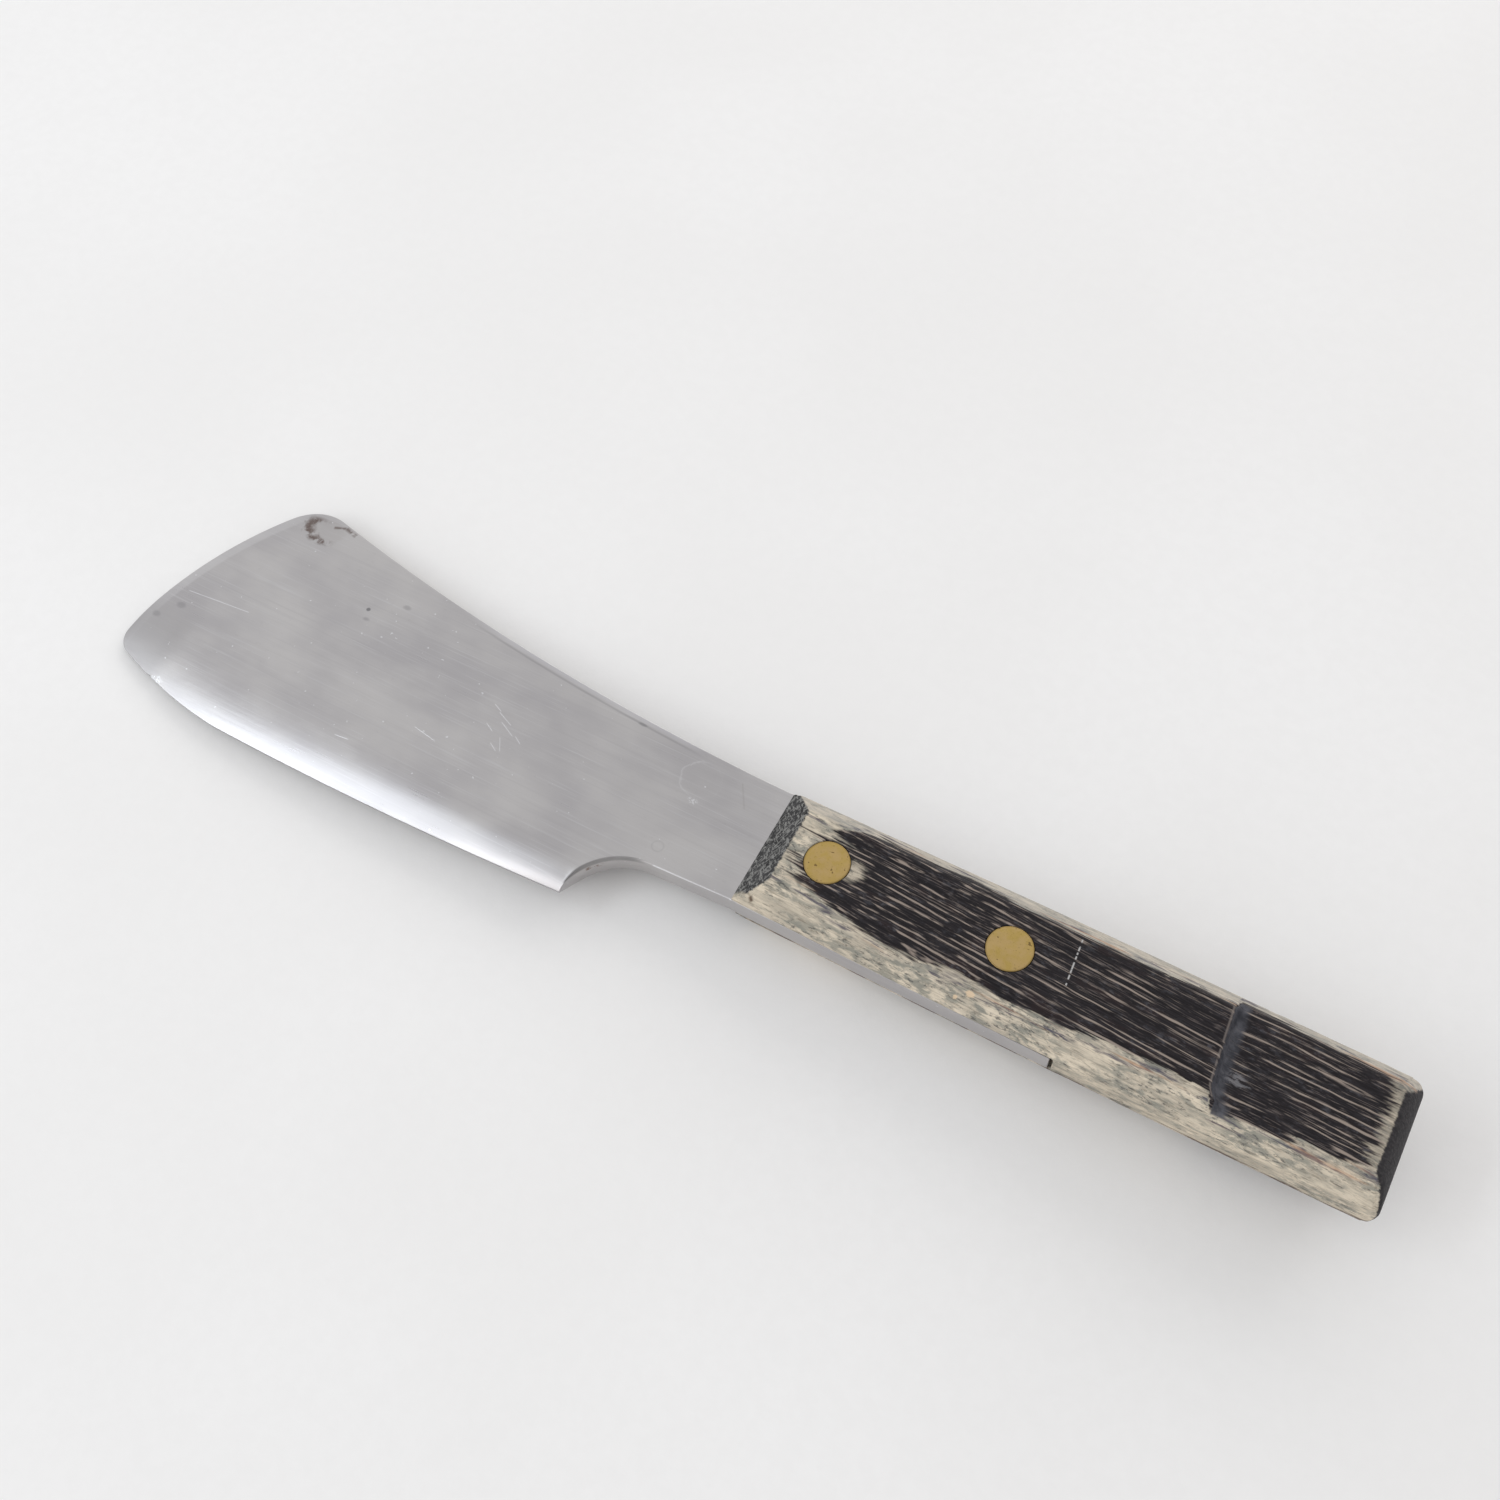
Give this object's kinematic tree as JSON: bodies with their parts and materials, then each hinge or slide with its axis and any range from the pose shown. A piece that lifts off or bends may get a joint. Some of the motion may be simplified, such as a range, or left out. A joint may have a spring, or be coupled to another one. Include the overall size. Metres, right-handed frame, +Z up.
{
  "type": "butcher's knife",
  "caption": "Wide-bladed butcher's knife with a finger notch, a flat riveted half tang and a chamfered wooden handle with a thumb ramp.",
  "frame": {"origin": "middle of the knife's box in plan, level with the handle's lower face", "axes": "+X from the blade's end to the butt, +Y from the cutting edge to the spine, +Z up through the thickness, with the knife lying flat"},
  "size_m": [0.2452, 0.0498, 0.0164],
  "materials": {
    "steel": "satin, fine lengthwise polish lines",
    "handle_wood": "darkened and worn, pale on its chamfers",
    "rivet_brass": "dull, handled"
  },
  "bodies": {
    "root": {"blade": "steel", "handle": "handle_wood", "front_rivet_tube": "rivet_brass", "front_rivet_stud": "rivet_brass", "rear_rivet_tube": "rivet_brass", "rear_rivet_stud": "rivet_brass"}
  },
  "joints": []
}
